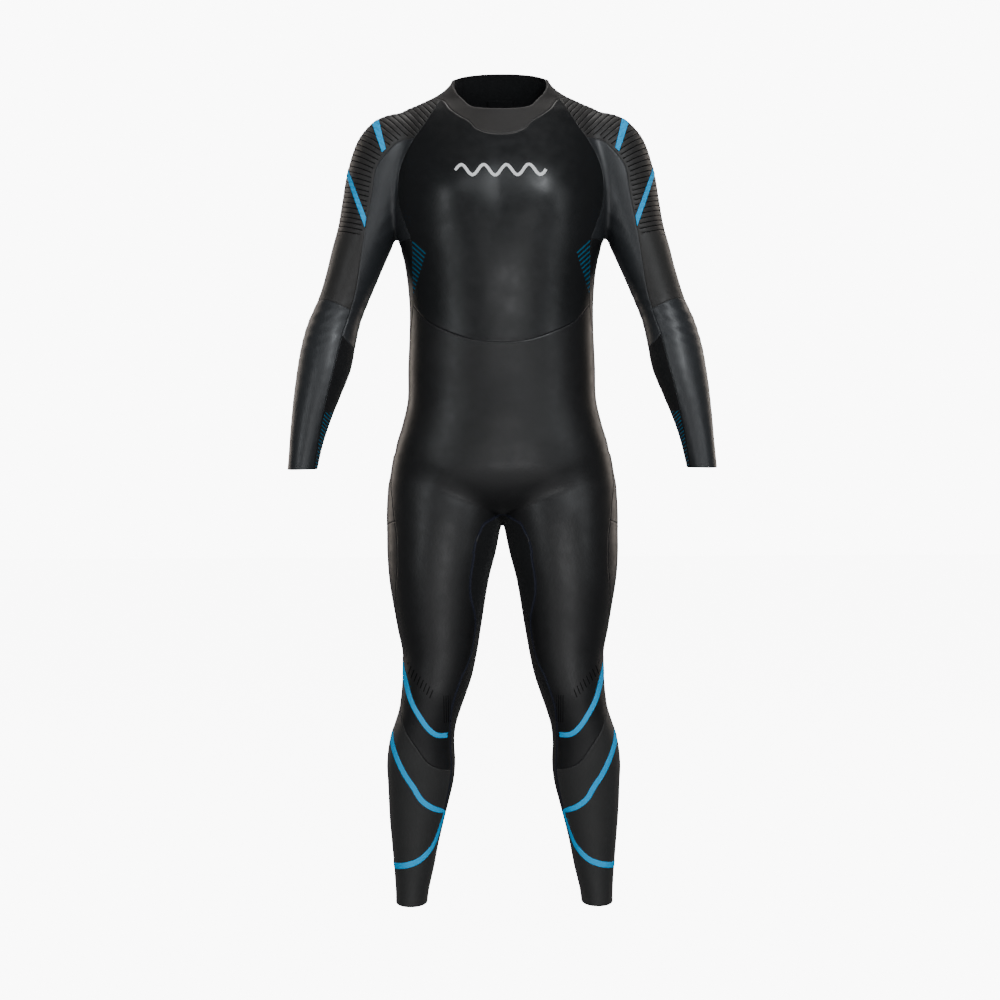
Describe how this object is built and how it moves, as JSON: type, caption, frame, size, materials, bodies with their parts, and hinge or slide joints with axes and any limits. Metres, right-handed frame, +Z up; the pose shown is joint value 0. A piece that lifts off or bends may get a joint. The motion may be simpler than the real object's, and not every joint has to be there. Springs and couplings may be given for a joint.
{
  "type": "full wetsuit",
  "caption": "Long-sleeved full-length swimming wetsuit of smooth neoprene panels, filled out as worn, with colour trim, ribbed shoulders and a back zip.",
  "frame": {"origin": "middle of the suit's footprint in the plane of the ankle hems", "axes": "+Z up, -Y the way the wearer faces, +X to the wearer's left"},
  "size_m": [0.727, 0.248, 1.4395],
  "materials": {
    "smooth_collar": "satin",
    "smooth_chest": "satin",
    "smooth_body": "satin",
    "smooth_sleeve": "satin",
    "smooth_shin": "matte",
    "ribbed_shoulder": "satin",
    "stretch_jersey": "matte",
    "jersey_lining": "matte",
    "blue_trim": "satin",
    "white_print": "matte",
    "zip_tape": "matte",
    "zip_coil": "satin",
    "metal": "satin",
    "slider_metal": "satin",
    "puller_grip": "matte",
    "collar_tab": "matte",
    "loop_pile": "matte"
  },
  "bodies": {
    "suit": {"collar_panel": "smooth_collar", "chest_panel": "smooth_chest", "front_body_panel": "smooth_body", "seat_panel": "smooth_body", "crotch_gusset": "stretch_jersey", "side_panel_left": "smooth_body", "upper_back_panel_left": "smooth_chest", "thigh_back_panel_left": "smooth_body", "knee_back_panel_left": "stretch_jersey", "calf_back_panel_left": "stretch_jersey", "shin_panel_left": "smooth_shin", "shoulder_panel_left": "ribbed_shoulder", "inner_sleeve_panel_left": "smooth_sleeve", "forearm_outer_panel_left": "smooth_sleeve", "forearm_inner_panel_left": "stretch_jersey", "side_panel_right": "smooth_body", "upper_back_panel_right": "smooth_chest", "thigh_back_panel_right": "smooth_body", "knee_back_panel_right": "stretch_jersey", "calf_back_panel_right": "stretch_jersey", "shin_panel_right": "smooth_shin", "shoulder_panel_right": "ribbed_shoulder", "inner_sleeve_panel_right": "smooth_sleeve", "forearm_outer_panel_right": "smooth_sleeve", "forearm_inner_panel_right": "stretch_jersey", "chest_mark": "white_print", "shoulder_stripe_upper_left": "blue_trim", "shoulder_stripe_lower_left": "blue_trim", "knee_stripe_left": "blue_trim", "calf_stripe_left": "blue_trim", "shoulder_stripe_upper_right": "blue_trim", "shoulder_stripe_lower_right": "blue_trim", "knee_stripe_right": "blue_trim", "calf_stripe_right": "blue_trim", "zip_tape_left": "zip_tape", "zip_coil_left": "zip_coil", "zip_top_stop_left": "metal", "zip_tape_right": "zip_tape", "zip_coil_right": "zip_coil", "zip_top_stop_right": "metal", "zip_bottom_stop": "metal", "zip_placket": "jersey_lining", "collar_tab_root": "collar_tab", "collar_loop_patch": "loop_pile"},
    "slider": {"zip_slider": "slider_metal"},
    "puller": {"zip_puller": "puller_grip"},
    "tab": {"collar_tab": "collar_tab"}
  },
  "joints": [
    {"name": "zip_travel", "type": "hinge", "parent": "suit", "child": "slider", "pos_m": [0, -0.398, 1.19], "axis": [-1, 0, 0], "range_deg": [0, 38.41]},
    {"name": "zip_pull_swing", "type": "hinge", "parent": "slider", "child": "puller", "pos_m": [0, 0.08709, 1.38388], "axis": [1, 0, 0], "range_deg": [0, 160]},
    {"name": "collar_tab_lift", "type": "hinge", "parent": "suit", "child": "tab", "pos_m": [-0.02, 0.0736, 1.412], "axis": [0, -0.4299, 0.9029], "range_deg": [0, 110]}
  ]
}
